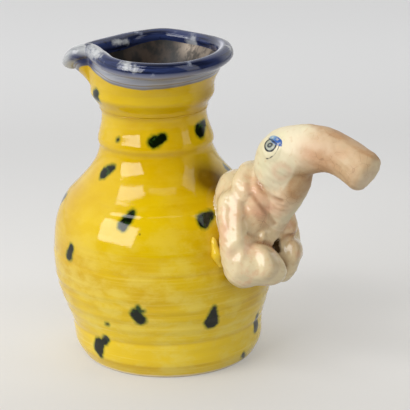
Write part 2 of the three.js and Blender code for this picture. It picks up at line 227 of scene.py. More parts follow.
# Pieces of the animal: roll, CAD node, counts round, along and on each end, first ray, and bend of the rings
CLAY_PIECES = {
    "torso_clay": ("torso", "figure_torso", (110, 70, 16), LEFTWARD, 0.5),
    "chest_clay": ("chest", "figure_torso", (60, 24, 14), UPWARD, 0.5),
    "scruff_clay": ("scruff", "figure_torso", (80, 110, 12), OUTWARD, 1),
    "neck_clay": ("neck", "figure_head", (100, 70, 10), LEFTWARD, 0.5),
    "head_clay": ("head", "figure_head", (150, 160, 26), LEFTWARD, 0.4),
    "nape_fold_clay": ("nape", "nape_fold", (56, 110, 10), UPWARD, 1),
    "left_chest_clay": ("left_chest", "figure_torso", (80, 60, 14), UPWARD, 0.5),
    "left_fist_clay": ("left_fist", "left_arm", (80, 30, 18), LEFTWARD, 0.5),
    "right_upper_arm_clay": ("right_upper", "right_arm", (90, 80, 16), LEFTWARD, 0.5),
    "right_forearm_clay": ("right_fore", "right_arm", (90, 50, 18), FOREARM_SIDE, 0),
    "left_upper_arm_clay": ("left_upper", "left_arm", (90, 80, 16), LEFTWARD, 0.5),
    "left_forearm_clay": ("left_fore", "left_arm", (90, 50, 18), FOREARM_SIDE, 0),
}
# Part of a roll's line that carries its rings, where that isn't all of it
RINGED = {"head": (0.14, 0.87)}
# How a skin is moved onto the clay: rounds, share of the distance in each, and furthest in and out
SKIN_ROUNDS = 9
SKIN_SHARE = 0.85
SKIN_IN = -12
SKIN_OUT = 7
# Furthest that a roll dips under its neighbour, and that any of them goes into the pot
DEEPEST_DIP = 1.5
POT_DEPTH = 2
# Share of the level distance to the pot that is left by its slope
POT_SLOPE = 0.9

# Bead of slip beside the animal: side at even steps down, ends above the seat, radius, and gap to the pot
BEAD_SIDE = [-20.6, -21, -20.6, -19.4]
BEAD_TOP = 10
BEAD_FOOT = -4.5
BEAD_RADIUS = 2.3
BEAD_OFF = 0.6

# Brush dabs: bearing in degrees, height and radius at the start and the end of each stroke
DABS = [
    (-90, 110, 2.4, -80.5, 112, 1.4), (-22, 114.2, 1.2, -35, 112, 2.9), (-134, 96.6, 0.9, -143, 93.4, 2.2),
    (-7, 90.6, 1.2, -3, 89.2, 0.9), (-176, 77.3, 1, -183, 74.5, 2.4), (-106, 80.4, 1.3, -110.5, 76, 2.1),
    (-56, 78.8, 0.9, -63, 76.6, 2.6), (-144, 61, 1.4, -146, 56.8, 2), (-104, 35.4, 2.4, -102.4, 32.7, 2.4),
    (-102.7, 39.2, 0.5, -102.4, 37.5, 0.9), (-100.2, 37.2, 0.4, -102.4, 36.9, 0.9),
    (-63, 36.4, 0.8, -64, 29.2, 3.2), (-24, 22, 0.9, -22, 15.5, 2.4), (-134, 14.4, 2.6, -135.5, 11.4, 2.9),
    (-127.5, 18.2, 1.3, -129.7, 16.3, 1.5), (-134.7, 8.3, 1, -135.4, 10.3, 1.5),
    (-36.6, 5.3, 0.6, -33, 2.4, 0.6), (-150, 131, 1.2, -154, 128.8, 2.2), (-149, 127.2, 0.7, -151, 128.5, 1),
    (-158, 127, 0.7, -156, 128.5, 1), (-123, 27.4, 0.35, -123.4, 27.2, 0.3),
    (-129.5, 109.8, 0.4, -129.8, 109.6, 0.35),
    (28, 15, 1, 33, 11, 2.6), (82, 18, 1.2, 84, 12.5, 2.4), (140, 14, 1, 134, 10.5, 2.5),
    (12, 37, 0.8, 14, 31, 2.6), (58, 35, 1, 53, 30.5, 2.4), (108, 38, 0.9, 110, 31.5, 2.7),
    (156, 36, 1, 152, 32, 2.3),
    (34, 60, 1, 37, 54.5, 2.4), (86, 58, 0.8, 83, 53, 2.5), (130, 61, 1, 134, 56, 2.2),
    (14, 79, 1, 8, 76, 2.4), (68, 80, 0.8, 72, 75.5, 2.6), (122, 78, 1, 117, 75.5, 2.4),
    (46, 96, 0.8, 38, 93, 2.1), (102, 95.5, 0.9, 95, 92.5, 2.2), (158, 97, 0.8, 149, 94, 2),
    (32, 113, 1.2, 24, 111, 2.4), (92, 110.5, 2.2, 101, 112.5, 1.2), (150, 113.5, 1, 141, 111, 2.5),
    (66, 130, 1, 60, 127.5, 2.2), (136, 129, 1.8, 143, 130.5, 1),
]
DISCS_IN_A_DAB = 7
# Distance given where there is no dab
NO_DAB = 50.0

GLAZE_IOR = 1.45

# Stage: half the floor's side in mm; the lamps' distance and the height that they aim at, in metres
FLOOR_HALF = 9000.0
LAMP_DISTANCE = 3.0
LAMP_AIM = 0.08
# Camera of the photograph: degrees down, degrees of roll, lens and sensor in mm, and place in metres
CAMERA_DOWN = 18
CAMERA_ROLL = 0.8
CAMERA_LENS = 153.7
CAMERA_SENSOR = 36
CAMERA_PLACE = (0.0182, -0.7925, 0.3287)


def smooth_through(knots, values, at):
    """Smooth cubic curve through the values at the knots; a knot's slope is the mean of its two chords."""
    knots = np.asarray(knots, float)
    values = np.asarray(values, float)
    at = np.asarray(at, float)
    tail = (1,) * (values.ndim - 1)
    width = np.diff(knots)
    chord = np.diff(values, axis=0) / width.reshape(-1, *tail)
    slope = np.concatenate([chord[:1], (chord[1:] + chord[:-1]) / 2, chord[-1:]])
    i = np.clip(np.searchsorted(knots, at) - 1, 0, len(width) - 1)
    w = width[i].reshape(at.shape + tail)
    t = ((at - knots[i]) / width[i]).reshape(at.shape + tail)
    left = (1 + 2 * t) * (1 - t) ** 2 * values[i] + t * (1 - t) ** 2 * w * slope[i]
    right = t * t * (3 - 2 * t) * values[i + 1] + t * t * (t - 1) * w * slope[i + 1]
    return left + right


def smooth_step(low, high, x):
    """0 below low, 1 above high, and 3t^2 - 2t^3 between them."""
    t = np.clip((x - low) / (high - low), 0, 1)
    return t * t * (3 - 2 * t)


def bell(x, middle, width):
    """Bell of height 1: exp(-((x - middle) / width)^2)."""
    return np.exp(-(((x - middle) / width) ** 2))


def unit(v):
    """Vectors scaled to length 1."""
    return v / np.maximum(np.linalg.norm(v, axis=-1, keepdims=True), 1e-9)


def round_steps(count):
    """Even angles round one turn, from 0."""
    return np.linspace(0, 2 * math.pi, count, endpoint=False)


def rings_round(side, front, columns):
    """Unit circles, one to a row: side cos(a) + front sin(a), for the angles a of one turn."""
    angle = round_steps(columns)[None, :, None]
    return side[:, None] * np.cos(angle) + front[:, None] * np.sin(angle)


def length_along(line):
    """Length from the start of a line with straight parts to each of its corners."""
    return np.concatenate([[0], np.cumsum(np.linalg.norm(np.diff(line, axis=0), axis=1))])


def pot_radius(height):
    """Outside radius of the thrown pot at a height, without its throwing rings."""
    heights, radii = np.array(POT_TURNS).T
    return smooth_through(heights, radii, np.clip(height, 0, SEAM_HEIGHT))


def throwing_rings(height, bearing):
    """Ridges that the fingers left: a helix of fine rings below, broad ones above, and a few grooves.

    A ring is a cosine of the height over its rise, less the turn, with a slow wave round the pot.
    """
    turn = bearing / (2 * math.pi)
    uneven = 0.6 + 0.4 * np.sin(bearing + 0.11 * height)
    fine = FINE_DEPTH * uneven * smooth_step(6, 14, height) * (1 - smooth_step(40, 52, height))
    rings = fine * np.cos(2 * math.pi * (height / FINE_RISE - turn) + 0.8 * np.sin(bearing + 1))
    broad = BROAD_DEPTH * smooth_step(20, 40, height) * (1 - smooth_step(52, 70, height))
    rings = rings + broad * np.cos(2 * math.pi * (height / BROAD_RISE - turn) + 1.2 * np.sin(2 * bearing))
    for middle, sway, start, depth, width in GROOVES:
        rings = rings - depth * bell(height, middle + sway * np.sin(bearing + start), width)
    return rings


def spots(points, places):
    """Sum of round soft spots, each strength times exp(-(distance / size)^2), kept to at most 1."""
    total = np.zeros(points.shape[:-1])
    for *place, size, strength in places:
        total = total + strength * np.exp(-(((points - place) ** 2).sum(-1) / size ** 2))
    return np.clip(total, 0, 1)


def dab_distance(bearing, height, radius):
    """Distance over the pot's skin to the nearest brush dab, less than 0 inside it.

    A stroke is a row of discs whose middle and radius run evenly from its start to its end.
    """
    least = np.full(height.shape, NO_DAB)
    for b0, z0, r0, b1, z1, r1 in DABS:
        for t in np.linspace(0, 1, DISCS_IN_A_DAB):
            aside = bearing - math.radians(b0 + (b1 - b0) * t)
            aside = np.arctan2(np.sin(aside), np.cos(aside)) * radius
            reach = np.hypot(aside, height - (z0 + (z1 - z0) * t)) - (r0 + (r1 - r0) * t)
            least = np.minimum(least, reach)
    return least


def put_mesh(name, vertices, faces, attributes=None, corner_uv=None, normals=None):
    """Mesh object from vertices in mm, with point attributes, a UV per face corner and its own normals."""
    mesh = bpy.data.meshes.new(name)
    mesh.from_pydata((vertices * MM).tolist(), [], faces)
    for key, values in (attributes or {}).items():
        layer = mesh.attributes.new(key, "FLOAT", "POINT")
        layer.data.foreach_set("value", np.asarray(values, np.float32).ravel())
    if corner_uv is not None:
        layer = mesh.uv_layers.new(name="along_and_round")
        layer.data.foreach_set("uv", np.asarray(corner_uv, np.float32).ravel())
    mesh.shade_smooth()
    if normals is not None:
        mesh.normals_split_custom_set_from_vertices(normals.tolist())
    piece = bpy.data.objects.new(name, mesh)
    bpy.context.scene.collection.objects.link(piece)
    return piece


def ring_grid(
    name, points, attributes=None, poles=(False, False), rows_close=False, with_uv=False, normals=None,
):
    """Mesh over points[row, column] whose columns close round; a pole row is kept as one vertex.

    Faces turn outwards when the columns go counter-clockwise and the rows go up the outside.
    """
    rows, columns = points.shape[:2]
    index = np.arange(rows * columns).reshape(rows, columns)
    if poles[0]:
        index[0] = index[0, 0]
    if poles[1]:
        index[-1] = index[-1, 0]
    low = index if rows_close else index[:-1]
    high = np.roll(index, -1, axis=0) if rows_close else index[1:]
    corners = np.stack([low, np.roll(low, -1, 1), np.roll(high, -1, 1), high], -1).reshape(-1, 4)
    used, packed = np.unique(corners, return_inverse=True)
    packed = packed.reshape(-1, 4)
    faces = [list(dict.fromkeys(face)) for face in packed.tolist()]
    corner_uv = None
    if with_uv:
        row, column = np.meshgrid(np.arange(len(low)), np.arange(columns), indexing="ij")
        steps = np.array([[0, 0], [1, 0], [1, 1], [0, 1]])
        corner_uv = np.stack([column[..., None] + steps[:, 0], row[..., None] + steps[:, 1]], -1)
        corner_uv = corner_uv / np.array([columns, len(low)])
    flat = {key: value.reshape(-1)[used] for key, value in (attributes or {}).items()}
    own = None if normals is None else normals.reshape(-1, 3)[used]
    return put_mesh(name, points.reshape(-1, 3)[used], faces, flat, corner_uv, own)


def finish_piece(piece, cad_node, material):
    """Material, the CAD node that the piece stands for and its body."""
    piece.data.materials.append(material)
    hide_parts(cad_node)
    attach(piece, "root")


def thrown_pot(columns=360, outer_rows=190, inner_rows=44):
    """Pot turned about its drifting axis: foot, outside with throwing rings, seam edge, inside and floor."""
    bearing = np.linspace(-math.pi, math.pi, columns, endpoint=False)[None]
    edge = SEAM_HEIGHT - SEAM_GAP
    height = np.concatenate([np.linspace(0, 4, 12), np.linspace(4, edge, outer_rows)[1:]])[:, None]
    rings = throwing_rings(height, bearing)
    radius = pot_radius(height) - FOOT_BEVEL * (1 - smooth_step(0, FOOT_BEVEL_HEIGHT, height)) + rings
    radius = radius * (1 + OUT_OF_ROUND * np.cos(2 * bearing + 0.7))
    outer = np.stack(np.broadcast_arrays(radius, height), -1)
    inside_height = np.linspace(edge, FLOOR_HEIGHT + FLOOR_FILLET, inner_rows)
    inside = np.stack([pot_radius(inside_height) - WALL, inside_height], -1)
    bend = np.linspace(0, math.pi / 2, 9)[1:]
    corner = inside[-1, 0] - FLOOR_FILLET * (1 - np.cos(bend))
    fillet = np.stack([corner, FLOOR_HEIGHT + FLOOR_FILLET * (1 - np.sin(bend))], -1)
    floor = np.array([[fillet[-1, 0] / 2, FLOOR_HEIGHT], [0, FLOOR_HEIGHT]])
    inner = np.concatenate([inside, fillet, floor])[:, None] + np.zeros((1, columns, 1))
    foot = np.array([[0, 0], [20, 0], [38, 0]], float)[:, None] + np.zeros((1, columns, 1))
    profile = np.concatenate([foot, outer, inner])
    r, z = profile[..., 0], profile[..., 1]
    points = drifted(np.stack([r * np.cos(bearing), r * np.sin(bearing), z], -1))
    outside = slice(len(foot), len(foot) + len(outer))
    within = np.zeros(z.shape)
    within[outside.stop:] = 1
    dab = dab_distance(bearing + 0 * z, z, np.maximum(r, 1))
    dab[within > 0] = NO_DAB
    ridge = np.zeros(z.shape)
    ridge[outside] = rings
    masks = {"dab": dab, "within": within, "ridge": ridge, "painted_shadow": spots(points, PAINTED_SHADOW_SPOTS)}
    return ring_grid("pot_body_glazed", points, masks, poles=(True, True))


def mouth_ring(columns):
    """Closed curve through the mouth's points at even steps, and the level way out of it at each step."""
    closed = np.array(MOUTH[-3:] + MOUTH + MOUTH[:4], float)
    span = length_along(closed)
    start, end = span[3], span[3 + len(MOUTH)]
    fine = smooth_through(span, closed, np.linspace(start, end, 4 * columns + 1))
    length = length_along(fine)
    even = np.linspace(0, length[-1], columns, endpoint=False)
    ring = np.stack([np.interp(even, length, fine[:, k]) for k in range(3)], -1)
    along = unit(np.roll(ring, -1, 0) - np.roll(ring, 1, 0))
    out = unit(np.stack([along[:, 1], -along[:, 0], 0 * along[:, 0]], -1))
    ring[:, 2] += RIM_HEIGHT
    return ring, out


def drifted(points):
    """Points of the pot moved along X with their height."""
    moved = points.copy()
    moved[..., 0] += DRIFT * moved[..., 2]
    return moved


def lip_share(ring):
    """1 at the lip's tip, falling to 0 away from it."""
    return bell(np.hypot(ring[:, 0] - LIP_TIP[0], ring[:, 1] - LIP_TIP[1]), 0, LIP_REACH)


def flared_collar(columns=360, rows=60):
    """Collar between the seam and the rim: a circle that swells, then leans into the mouth's curve."""
    ring, out = mouth_ring(columns)
    bearing = np.arctan2(ring[:, 1], ring[:, 0])
    radial = np.stack([np.cos(bearing), np.sin(bearing), 0 * bearing], -1)
    climb = np.linspace(0, 1, rows)[:, None]
    top = ring[None, :, 2]
    height = SEAM_HEIGHT + (top - SEAM_HEIGHT) * climb
    seam_radius = pot_radius(SEAM_HEIGHT)
    swell = smooth_step(SEAM_HEIGHT, COLLAR_HEIGHT, height)
    radius = seam_radius + COLLAR_STEP + (COLLAR_RADIUS - seam_radius) * swell
    radius = radius + COLLAR_RIPPLE * np.cos(height * 1.1 + bearing[None])
    lean = np.clip((height - FLARE_HEIGHT) / (top - FLARE_HEIGHT), 0, 1)[..., None] ** COLLAR_LEAN
    normal = unit(radial[None] * (1 - lean) + out[None] * lean)
    middle = radial[None] * (radius - COLLAR_WALL / 2)[..., None] * (1 - lean) + ring[None] * [1, 1, 0] * lean
    middle[..., 2] = height
    outer = middle + normal * COLLAR_WALL / 2
    inner = (middle - normal * COLLAR_WALL / 2)[::-1]
    points = np.concatenate([outer, inner])
    within = np.concatenate([np.zeros(height.shape), np.ones(height.shape)])
    gained = LEDGE_GAINED_IN_FRONT * bell(bearing, FRONT_BEARING, 0.7)
    ledge = LEDGE - LEDGE_LOST_AT_LIP * lip_share(ring) + gained
    above = height - (top - RIM_COIL - ledge[None] + 0.5)
    x, y, z = np.moveaxis(points, -1, 0)
    dab = dab_distance(np.arctan2(y, x), z, np.hypot(x, y))
    dab[within > 0] = NO_DAB
    placed = drifted(points)
    masks = {
        "dab": dab,
        "within": within,
        "blue_above": np.concatenate([above, above[::-1]]),
        "wear_and_sheen": within * spots(placed, SHEEN_INSIDE),
        "painted_shadow": spots(placed, PAINTED_SHADOW_SPOTS),
        "dark": spots(placed, RIM_DARK),
    }
    return ring_grid("neck_collar_glazed", placed, masks, rows_close=True)


def rolled_rim(columns=480, rows=40):
    """Rim coil carried round the mouth's curve; its section is a circle, a little flat inside and uneven."""
    ring, out = mouth_ring(columns)
    angle = round_steps(rows)[:, None]
    share = round_steps(columns)[None]
    uneven = 0.12 * np.sin(3 * share + 1) + 0.08 * np.sin(7 * share)
    radius = RIM_COIL + uneven - 0.25 * bell(angle, math.pi, 0.7)
    radius = radius * (1 - 0.035 * np.cos(4 * (angle - 0.42)))
    points = ring[None] + out[None] * (radius * np.cos(angle))[..., None]
    points[..., 2] += radius * np.sin(angle)
    placed = drifted(points)
    near = 1 - smooth_step(0, 14, ring[:, 1])[None]
    masks = {
        "lip": lip_share(ring)[None] + 0 * angle,
        "crest": bell(angle, 1.9, 0.22) * near,
        "under": bell(angle, 5.4, 0.65) + 0 * share,
        "pale": spots(placed, RIM_PALE),
        "dark": spots(placed, RIM_DARK),
    }
    return ring_grid("rim_roll_glazed", placed, masks, rows_close=True, with_uv=True)


# Frame of the animal: its seat on the pot's skin, and its out, left and up directions
OUT = np.array([math.cos(HANDLE_BEARING), math.sin(HANDLE_BEARING), 0])
LEFT = np.array([-math.sin(HANDLE_BEARING), math.cos(HANDLE_BEARING), 0])
UP = np.array([0.0, 0, 1])
SEAT_RADIUS = float(pot_radius(SEAT_HEIGHT))
SEAT = np.array([DRIFT * SEAT_HEIGHT, 0, SEAT_HEIGHT]) + SEAT_RADIUS * OUT
AXES = np.stack([OUT, LEFT, UP])


def even_roll(stations):
    """Middles and radii of a clay roll's balls, at even steps along the smooth curve through its stations."""
    stations = np.asarray(stations, float)
    knots = length_along(stations[:, :3])
    return smooth_through(knots, stations, np.linspace(0, knots[-1], int(knots[-1] / BALL_STEP) + 2))


ROLLS = {key: even_roll(stations) for key, stations in ANIMAL.items()}


def roll_distance(points, roll, squeeze=1.0):
    """Distance from points to the balls of a roll, run together by a soft minimum, -s log(sum exp(-d / s)).

    The thickness that the soft minimum adds is taken off again; squeeze scales the sideways direction.
    """
    scale = np.array([1, squeeze, 1])
    a = points * scale
    b = roll[:, :3] * scale
    squared = (a * a).sum(1)[:, None] + (b * b).sum(1)[None] - 2 * a @ b.T
    reach = np.sqrt(np.maximum(squared, 0)) - roll[:, 3]
    least = reach.min(1)
    total = np.exp((least[:, None] - reach) / BALL_SOFTNESS).sum(1)
    crowd = math.sqrt(2 * math.pi * BALL_SOFTNESS * roll[:, 3].mean()) / BALL_STEP
    return least - BALL_SOFTNESS * (np.log(total) - math.log(max(crowd, 1)))


def line_distance(points, line):
    """Distance from points to a line with straight parts."""
    corners = np.asarray(line, float)
    a = corners[:-1]
    part = np.diff(corners, axis=0)
    length = (part * part).sum(1)
    along = points @ part.T - (a * part).sum(1)
    t = np.clip(along / length, 0, 1)
    squared = (points * points).sum(1)[:, None] + (a * a).sum(1) - 2 * points @ a.T
    squared = squared - 2 * t * along + t * t * length
    return np.sqrt(np.maximum(squared, 0)).min(1)


def soft_union(a, b, reach):
    """Smaller of two distances, rounded off within reach: b + (a - b) h - reach h (1 - h)."""
    h = np.clip(0.5 + 0.5 * (b - a) / reach, 0, 1)
    return b + (a - b) * h - reach * h * (1 - h)


def pot_distance(points):
    """Distance from points in the animal's frame to the pot's skin: out from the axis, less for its slope."""
    placed = points @ AXES + SEAT
    reach = np.hypot(placed[:, 0] - DRIFT * placed[:, 2], placed[:, 1])
    return (reach - pot_radius(placed[:, 2])) * POT_SLOPE


def clay_distances(points):
    """Distance from points in the animal's frame to each of its clay rolls and to the pot."""
    clay = {key: roll_distance(points, roll, SQUEEZE.get(key, 1)) for key, roll in ROLLS.items()}
    cut = (points - SNOUT_TIP) @ SNOUT_WAY
    head = -soft_union(-clay["head"], -cut, SNOUT_ROUND)
    for side in (-1, 1):
        brow = np.linalg.norm(points - BROW * [1, side, 1], axis=1) - BROW_RADIUS
        head = soft_union(head, brow, BROW_JOINT)
    clay["head"] = head
    clay["pot"] = pot_distance(points)
    return clay


def finger_dents(points):
    """Uneven pinching of soft clay: products of slow waves along three skew directions."""
    a = points @ np.array([0.36, 0.13, 0.25]) + 0.6
    b = points @ np.array([-0.16, 0.41, 0.2]) + 1.9
    c = points @ np.array([0.2, -0.23, 0.46]) + 4.1
    slow = 0.16 * np.sin(a) * np.sin(b) + 0.1 * np.sin(b + 1.3 * c) * np.sin(c)
    return slow + 0.08 * np.sin(2.6 * a + 1.7 * np.sin(b)) * np.sin(2.4 * c + 0.8 * np.sin(a))


def joined_rolls(points, clay):
    """Level set of the animal's rolls run together softly, with the creases pressed in."""
    field = clay["torso"]
    for key, reach in JOINTS.items():
        field = soft_union(field, clay[key], reach)
    for line, depth, width in CREASES:
        field = field + depth * bell(line_distance(points, line), 0, width)
    return field


def slid_flat(line):
    """Line of a flat, slid along the way it faces until it lies on the clay."""
    corners = np.array(line)
    for _ in range(FLAT_ROUNDS):
        corners = corners - joined_rolls(corners, clay_distances(corners))[:, None] * FLATS_FACE
    return corners


LAID_FLATS = [(slid_flat(line), width, dome) for line, width, dome in FLATS]


def animal_field(points, clay=None):
    """Level set of the animal: joined rolls, paddled flats, dents, the gap between the fists, and the pot.

    A flat draws the level set towards a low dome along its line, by a share exp(-(distance / width)^2.6).
    """
    clay = clay or clay_distances(points)
    field = joined_rolls(points, clay)
    dents = finger_dents(points)
    for line, width, dome in LAID_FLATS:
        share = np.exp(-((line_distance(points, line) / width) ** FLAT_EDGE))
        target = line_distance(points, line - dome * FLATS_FACE) - dome
        field = field + share * (target - field)
        dents = dents * (1 - DENTS_LOST_ON_FLATS * share)
    gap = line_distance(points, FIST_GAP) - FIST_GAP_RADIUS
    field = -soft_union(-field, gap, GAP_JOINT) + dents
    return soft_union(field, clay["pot"], POT_JOINT)


def animal_normals(points):
    """Slope of the animal's field by central differences."""
    step = 0.15
    slope = [animal_field(points + step * axis) - animal_field(points - step * axis) for axis in np.eye(3)]
    return unit(np.stack(slope, -1))


def roll_skin(key, counts, across, bend):
    """Skin of a clay roll before it is joined: rings round its smooth middle line, and two round ends.

    Rings turn with the line by the share bend, so that they don't cross inside a tight turn.
    Returns points[row, column] and the way out from the middle line at each of them.
    """
    columns, rows, cap_rows = counts
    roll = ROLLS[key]
    ringed = np.linspace(*RINGED.get(key, (0, 1)), rows)
    middle = smooth_through(np.linspace(0, 1, len(roll)), roll, ringed)
    chord = unit(middle[-1, :3] - middle[0, :3])
    along = unit(bend * unit(np.gradient(middle[:, :3], axis=0)) + (1 - bend) * chord)
    side = unit(across - (along @ across)[:, None] * along)
    ring = rings_round(side, np.cross(along, side), columns)
    lift = np.linspace(math.pi / 2, 0, cap_rows, endpoint=False)[:, None, None]
    first = ring[:1] * np.cos(lift) - along[:1, None] * np.sin(lift)
    last = (ring[-1:] * np.cos(lift) + along[-1:, None] * np.sin(lift))[::-1]
    ways = np.concatenate([first, ring, last])
    balls = np.pad(middle, ((cap_rows, cap_rows), (0, 0)), mode="edge")[:, None]
    return balls[..., :3] + ways * balls[..., 3:], ways


def nearest(clay, keys):
    """Distance to the nearest of some of the rolls."""
    return np.minimum.reduce([clay[key] for key in keys])


def animal_colours(points, clay, field, normals):
    """Masks of the animal: tan and pink washes, partly painted shade under the jaw and painted light on the
    snout's tip, brown in its creases, painted shade in the gap and the slit between the fists, and the matt
    head.
    """
    out, left, up = points.T
    near = np.where(left[:, None] > 8, points * [1, -1, 1], points)
    ring = np.linalg.norm(near - BLUSH, axis=1)
    pink = spots(near, PINK_SPOTS) + 0.45 * bell(ring, 3.4, 1.7) + 0.2 * smooth_step(30, 40, out)
    top = smooth_step(0.45, 0.95, normals @ SNOUT_TOP) * smooth_step(20, 36, out)
    tip = (points - SNOUT_TIP) @ SNOUT_WAY
    # Less tan on the snout's tip, as painted light on its face
    snout = (0.72 * smooth_step(30, 46, out) + 1.1 * top) * (1 - 0.6 * smooth_step(-5, -1, tip))
    edge = 0.3 * bell(tip, -2.2, 1.2)
    # Brown under the jaw, partly painted shade under the head
    past_jaw = smooth_step(-0.6, 1, out - 25 - 0.62 * (up - 36.5))
    jaw = 1.5 * past_jaw * bell(np.linalg.norm(near - JAW, axis=1), 0, 8)
    deep = smooth_step(0.15, 0.8, nearest(clay, ROLLS) - field)
    pressed = [depth * bell(line_distance(points, line), 0, 1.1 * width) for line, depth, width in CREASES]
    # Slit where the right fist meets the left fist: its line is painted shade
    slit = np.hypot(clay["right_fore"], nearest(clay, ["left_fist", "left_fore"]))
    body_seam = np.hypot(clay["right_fore"], nearest(clay, ["torso", "chest", "scruff", "left_chest"]))
    # Gap between the fists, darkened as painted shade
    gap = 1 - smooth_step(0, 1, line_distance(points, FIST_GAP) - FIST_GAP_RADIUS)
    rest = nearest(clay, [key for key in ROLLS if key not in ("head", "neck")])
    seams_and_slit_shade = [deep * 0.2, bell(slit, 0, 1.8), bell(body_seam, 0, 1.2)]
    return {
        "tan_wash_and_shade": np.clip(spots(near, TAN_SPOTS) + snout + edge + jaw, 0, 1),
        "pink_wash": np.clip(pink, 0, 1),
        "deep": np.clip(np.maximum.reduce(seams_and_slit_shade + pressed), 0, 1),
        "gap_shade": np.maximum(gap, 0.9 * bell(slit, 0, 1.2)),
        "matt": smooth_step(-1, 2.5, rest - nearest(clay, ["head", "neck"])),
    }


def animal_roll(name, key, counts, across, bend):
    """One clay roll of the animal, its skin moved out along its rays until it lies on the animal's field.

    Where another roll is nearer it dips under, so that the rolls meet without a step.
    """
    skin, ways = roll_skin(key, counts, np.array(across), bend)
    shape = skin.shape[:2]
    start = skin.reshape(-1, 3)
    ways = ways.reshape(-1, 3)
    moved = np.zeros(len(start))
    for _ in range(SKIN_ROUNDS):
        moved = moved - SKIN_SHARE * animal_field(start + moved[:, None] * ways)
        moved = np.clip(moved, SKIN_IN, SKIN_OUT)
    points = start + moved[:, None] * ways
    clay = clay_distances(points)
    normals = animal_normals(points)
    masks = animal_colours(points, clay, animal_field(points, clay), normals)
    others = nearest(clay, [other for other in clay if other != key])
    dip = 0.5 * (clay[key] - others) + 0.03 * list(ROLLS).index(key)
    points = points - normals * np.clip(dip, 0, DEEPEST_DIP)[:, None]
    placed = points @ AXES + SEAT
    from_axis = placed[:, :2] - np.stack([DRIFT * placed[:, 2], 0 * placed[:, 2]], -1)
    reach = np.linalg.norm(from_axis, axis=1)
    least = np.maximum(pot_radius(placed[:, 2]) - POT_DEPTH, reach)
    placed[:, :2] += from_axis * (least / reach - 1)[:, None]
    grid = {mask: value.reshape(shape) for mask, value in masks.items()}
    facing = (normals @ AXES).reshape(*shape, 3)
    return ring_grid(name, placed.reshape(*shape, 3), grid, poles=(True, True), normals=facing)


def eye_patch(name, side, rings=44, columns=120):
    """Eye: a low oval dome on the brow, found by moving a flat oval along the eye's line onto the animal.

    The dome stands over it by EYE_DOME (1 - share^4 - share^8), from its middle (0) to its edge (1).
    """
    mirror = [1, side, 1]
    looks = unit(EYE_LOOKS * mirror)
    from_lip = AXES @ np.array([1.0, 0, 0])
    level = from_lip if side < 0 else from_lip * [-1, 1, 1]
    aside = unit(level - (level @ looks) * looks)
    upward = np.cross(looks, aside)
    share = np.linspace(1, 0, rings)[:, None]
    angle = round_steps(columns)[None]
    u = EYE_HALF_WIDTH * share * np.cos(angle)
    v = EYE_HALF_HEIGHT * share * np.sin(angle)
    start = EYE * mirror + u[..., None] * aside + v[..., None] * upward + EYE_START * looks
    points = start.reshape(-1, 3)
    lift = (EYE_DOME * (1 - share ** 4 - share ** 8) + 0 * angle).reshape(-1)
    for _ in range(EYE_ROUNDS):
        points = points - EYE_SHARE * (animal_field(points) - lift)[:, None] * looks
    placed = (points @ AXES + SEAT).reshape(rings, columns, 3)
    return ring_grid(name, placed, {"eye_u": -side * u, "eye_v": v}, poles=(False, True))


def slip_bead(columns=28, rows=60):
    """Bead of slip clay in the corner between the animal's right side and the pot, a roll with round ends.

    Its radius swells with the root of a sine from end to end, with a slow wave on it.
    """
    step = np.linspace(0, len(BEAD_SIDE) - 1, rows)
    side = smooth_through(range(len(BEAD_SIDE)), BEAD_SIDE, step)
    rise = np.linspace(BEAD_TOP, BEAD_FOOT, rows)
    from_axis = pot_radius(SEAT_HEIGHT + rise) + BEAD_OFF
    out = np.sqrt(from_axis ** 2 - side ** 2) - SEAT_RADIUS
    swell = np.sin(math.pi * (step / step[-1]) ** 1.2) ** 0.5
    thickness = BEAD_RADIUS * swell * (1 + 0.14 * np.sin(4 * step + 1))
    middle = np.stack([out, side, rise], -1)
    along = unit(np.gradient(middle, axis=0))
    across = unit(np.cross(along, OUTWARD))
    ring = rings_round(across, np.cross(along, across), columns)
    points = middle[:, None] + ring * thickness[:, None, None]
    return ring_grid("slip_bead_glazed", points @ AXES + SEAT, poles=(True, True))


def srgb(red, green, blue):
    """Colour written as 0 to 255 sRGB, as linear values with alpha."""
    parts = np.array([red, green, blue]) / 255
    linear = np.where(parts <= 0.04045, parts / 12.92, ((parts + 0.055) / 1.055) ** 2.4)
    return (*linear.tolist(), 1)


